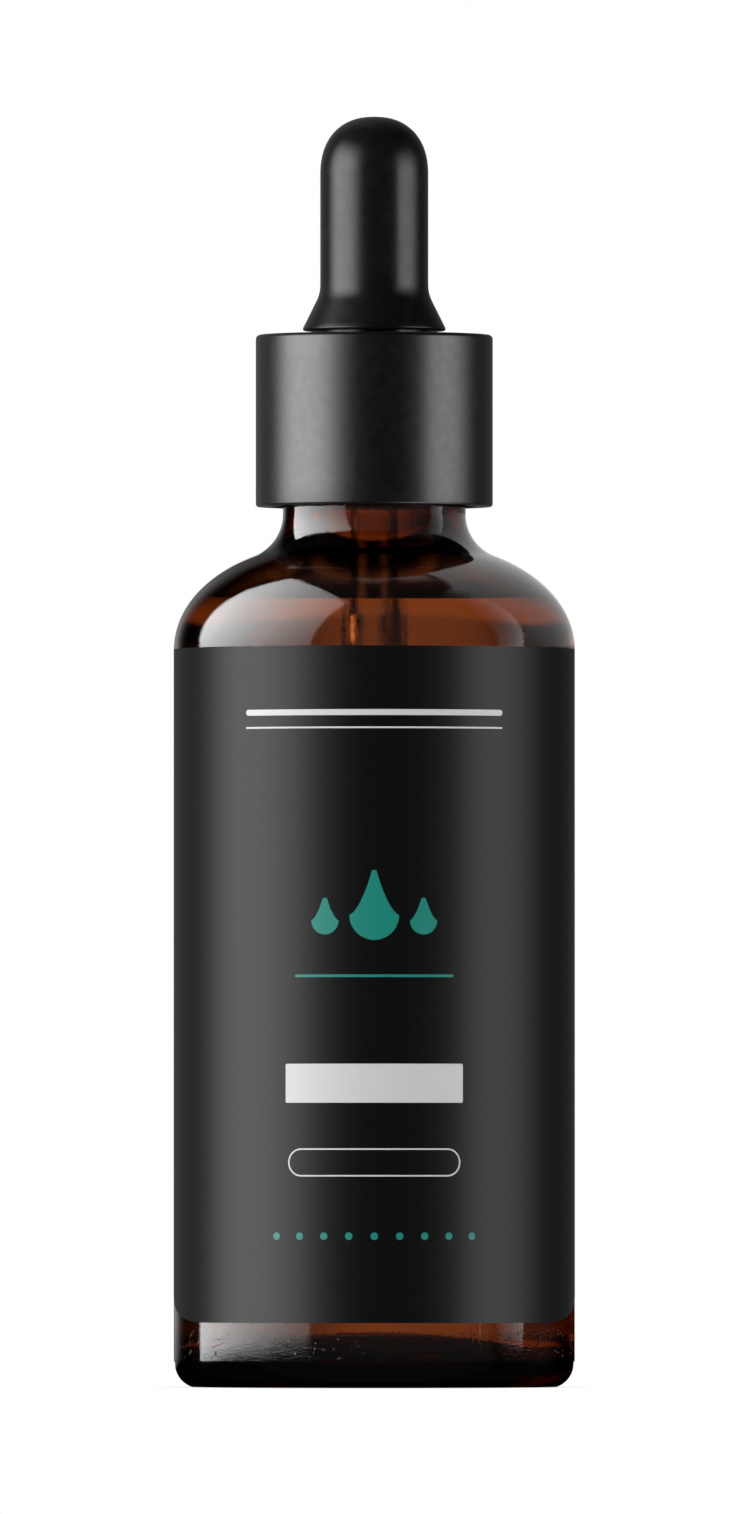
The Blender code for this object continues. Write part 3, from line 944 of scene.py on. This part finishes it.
def light_world():
    """Light from all round: what surfaces mirror, what shines through glass, and a white page behind."""
    world = bpy.data.worlds.new("studio")
    bpy.context.scene.world = world
    world.use_nodes = True
    tree = world.node_tree
    tree.nodes.clear()
    graph = Graph(tree)
    ray = graph.node("TexCoord").outputs["Generated"]
    x, y, z = graph.split(ray)
    height = graph.math("DEGREES", graph.math("ARCSINE", z))
    behind = graph.math("DEGREES", graph.math("ARCTAN2", x, y))
    softbox = softbox_light(graph, ray, height)
    gloss = mirrored_by_gloss(graph, softbox, behind, height)
    satin = mirrored_by_satin(graph, behind, height)
    through = seen_through_glass(graph, softbox, behind, height)
    paths = graph.node("LightPath").outputs
    mirrored = graph.ramp(paths["Is Singular Ray"], 0, 1, satin, gloss, smooth_ends=False)
    lighting, page = graph.node("Background"), graph.node("Background")
    graph.fill(lighting.inputs["Strength"],
               graph.ramp(paths["Is Transmission Ray"], 0, 1, mirrored, through, smooth_ends=False))
    page.inputs["Strength"].default_value = PAGE_WHITE
    for background in (lighting, page):
        background.inputs["Color"].default_value = (1, 1, 1, 1)
    pick = graph.node("MixShader")
    graph.fill(pick.inputs[0], paths["Is Camera Ray"])
    graph.fill(pick.inputs[1], lighting.outputs[0])
    graph.fill(pick.inputs[2], page.outputs[0])
    graph.fill(graph.node("OutputWorld").inputs["Surface"], pick.outputs[0])


def make_floor():
    """White floor, seen only by the camera, with a soft shade where the bottle stands."""
    corners = [(-FLOOR_HALF, -FLOOR_HALF), (FLOOR_HALF, -FLOOR_HALF), (FLOOR_HALF, FLOOR_HALF),
               (-FLOOR_HALF, FLOOR_HALF)]
    floor = new_object("floor", [(x, y, -FLOOR_DROP) for x, y in corners], faces=[(0, 1, 2, 3)])
    made, colour, graph = new_glow("floor_white")
    shade = graph.node("AmbientOcclusion", samples=8)
    shade.inputs["Distance"].default_value = FLOOR_SHADE_REACH * MM
    graph.fill(colour, graph.colours(shade.outputs["AO"], FLOOR_SHADE, (1, 1, 1)))
    floor.data.materials.append(made)
    floor.visible_diffuse = floor.visible_glossy = False
    floor.visible_transmission = floor.visible_shadow = False


def make_painted_shadow_under():
    """A painted shadow under the bottle: a disc that glows near-black where the floor lies in the bottle's
    shade, seen only through the glass of its base.
    """
    turns = [math.tau * i / UNDER_SIDES for i in range(UNDER_SIDES)]
    rim = [(UNDER_RADIUS * math.cos(a), UNDER_RADIUS * math.sin(a), -UNDER_DROP) for a in turns]
    under = new_object("painted_shadow_disc", rim, faces=[tuple(range(UNDER_SIDES))])
    made, colour, _ = new_glow("painted_shadow_dark")
    # painted shadow: the disc glows near-black in place of the bottle's own shade on the floor
    colour.default_value = UNDER_PAINTED_SHADOW
    under.data.materials.append(made)
    under.visible_camera = under.visible_diffuse = under.visible_shadow = False


def make_camera():
    """A long lens from far off, a little above the heel and tilted up at the bottle's middle."""
    data = bpy.data.cameras.new("camera")
    camera = bpy.data.objects.new("camera", data)
    bpy.context.scene.collection.objects.link(camera)
    eye = Vector((AIM[0], -CAMERA_DISTANCE, CAMERA_HEIGHT)) * MM
    target = Vector((AIM[0], 0.0, AIM[1])) * MM
    camera.location = eye
    camera.rotation_euler = (target - eye).to_track_quat("-Z", "Y").to_euler()
    data.sensor_width = SENSOR
    data.lens = SENSOR * CAMERA_DISTANCE / PICTURE_HEIGHT
    data.clip_start = 0.1
    data.clip_end = 20.0
    bpy.context.scene.camera = camera


def set_look():
    """Plain colours, and enough bounces for light to cross the glass, the liquid and the pipette."""
    scene = bpy.context.scene
    scene.view_settings.view_transform = "Standard"
    scene.view_settings.look = "None"
    scene.cycles.max_bounces = 32
    scene.cycles.transmission_bounces = 32
    scene.cycles.glossy_bounces = 8


make_bottle()
make_tincture()
make_pipette()
make_collar()
make_bulb()
make_label()
make_marks()
light_world()
make_floor()
make_painted_shadow_under()
make_camera()
set_look()
